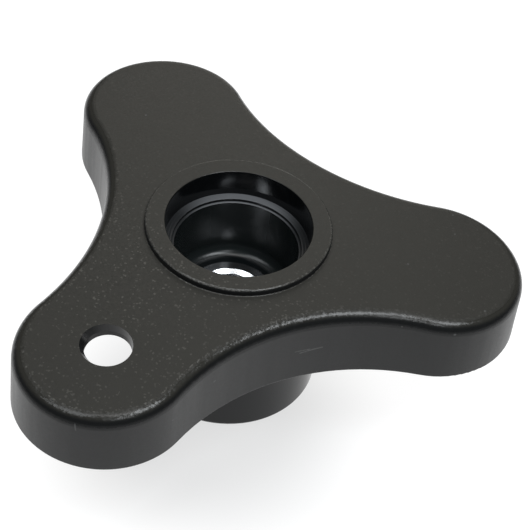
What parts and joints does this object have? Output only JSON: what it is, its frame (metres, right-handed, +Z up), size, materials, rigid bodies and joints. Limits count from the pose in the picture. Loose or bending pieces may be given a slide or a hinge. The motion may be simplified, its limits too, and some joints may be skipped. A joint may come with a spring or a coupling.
{
  "type": "three-lobed hand nut",
  "caption": "Lobed plastic hand nut: raised ring round a deep central cup, round clamping hub with a threaded metal bush, and a lanyard hole in one of its lobes.",
  "frame": {"origin": "centre of the hub's lower clamping face, on the thread's axis", "axes": "+Z up the thread's axis from the hub to the cup's mouth, +X towards the lobe with the lanyard hole"},
  "size_m": [0.0664, 0.073, 0.0278],
  "materials": {
    "moulded_plastic": "black, fine spark-eroded grain on top, satin skirt, polished cup and hub",
    "plated_steel": "bright zinc plate, turned face"
  },
  "bodies": {
    "root": {"knob_body": "moulded_plastic", "threaded_insert": "plated_steel"}
  },
  "joints": []
}
